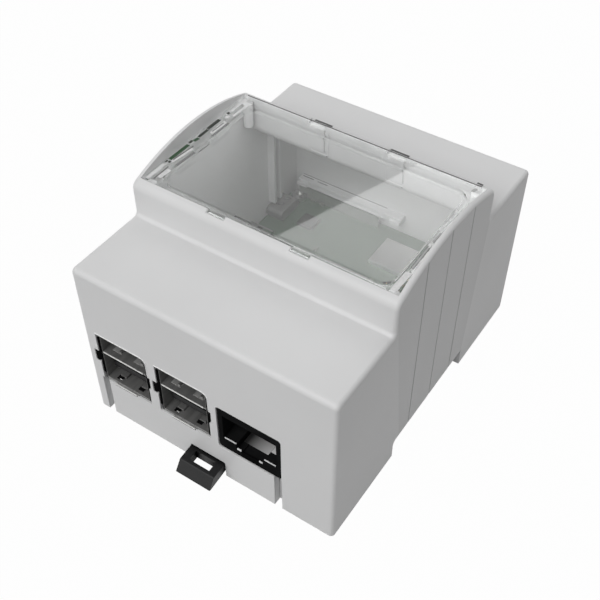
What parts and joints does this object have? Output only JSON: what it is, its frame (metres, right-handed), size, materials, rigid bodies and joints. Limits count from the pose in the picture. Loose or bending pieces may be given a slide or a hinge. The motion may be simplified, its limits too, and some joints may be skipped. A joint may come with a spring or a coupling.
{
  "type": "modular rail enclosure",
  "caption": "Stepped grey modular enclosure for a small computer board, with a clear lift-off panel, front sockets and a sprung rail latch.",
  "frame": {"origin": "centre of the rail seat, the flat pad that bears on the mounting rail", "axes": "+Z away from the rail, +X across the modules along the rail, +Y from the socket side to the rear"},
  "size_m": [0.071, 0.0965, 0.062],
  "materials": {
    "cover_plastic": "fine matt moulded surface",
    "base_plastic": "fine matt moulded surface",
    "clear_plastic": "clear and glossy",
    "latch_plastic": "black, slightly satin",
    "board_laminate": "green solder resist",
    "screw_steel": "plain steel",
    "shell_steel": "dark tinned steel",
    "tongue_plastic": "black",
    "jack_plastic": "black",
    "insert_plastic": "pale grey",
    "contact_brass": "gilded",
    "header_plastic": "black",
    "socket_steel": "bright tinned steel",
    "connector_plastic": "off-white",
    "spreader_metal": "satin",
    "chip_resin": "black resin",
    "shield_metal": "satin",
    "passive_ceramic": "tan ceramic",
    "led_resin": "pale resin"
  },
  "bodies": {
    "housing": {"cover": "cover_plastic", "base": "base_plastic", "main_board": "board_laminate", "board_screws": "screw_steel", "data_shell_left": "shell_steel", "data_shell_right": "shell_steel", "data_tongues_left": "tongue_plastic", "data_tongues_right": "tongue_plastic", "lan_jack": "jack_plastic", "lan_insert": "insert_plastic", "lan_contacts": "contact_brass", "pin_header": "header_plastic", "header_pins": "contact_brass", "power_socket": "socket_steel", "power_tongue": "tongue_plastic", "video_socket_front": "socket_steel", "video_socket_rear": "socket_steel", "audio_jack": "jack_plastic", "camera_connector": "connector_plastic", "processor": "spreader_metal", "memory_chip": "chip_resin", "radio_shield": "shield_metal", "lan_chip": "chip_resin", "data_controller": "chip_resin", "power_chip": "chip_resin", "card_slot": "socket_steel", "passives": "passive_ceramic", "status_leds": "led_resin"},
    "panel": {"clear_panel": "clear_plastic"},
    "latch": {"rail_latch": "latch_plastic"}
  },
  "joints": [
    {"name": "panel_lift", "type": "slide", "parent": "housing", "child": "panel", "axis": [0, 0, 1], "range_m": [0, 0.03]},
    {"name": "latch_slide", "type": "slide", "parent": "housing", "child": "latch", "axis": [0, -1, 0], "range_m": [0, 0.004], "stiffness_N_per_m": 1500, "springref_m": -0.001}
  ]
}
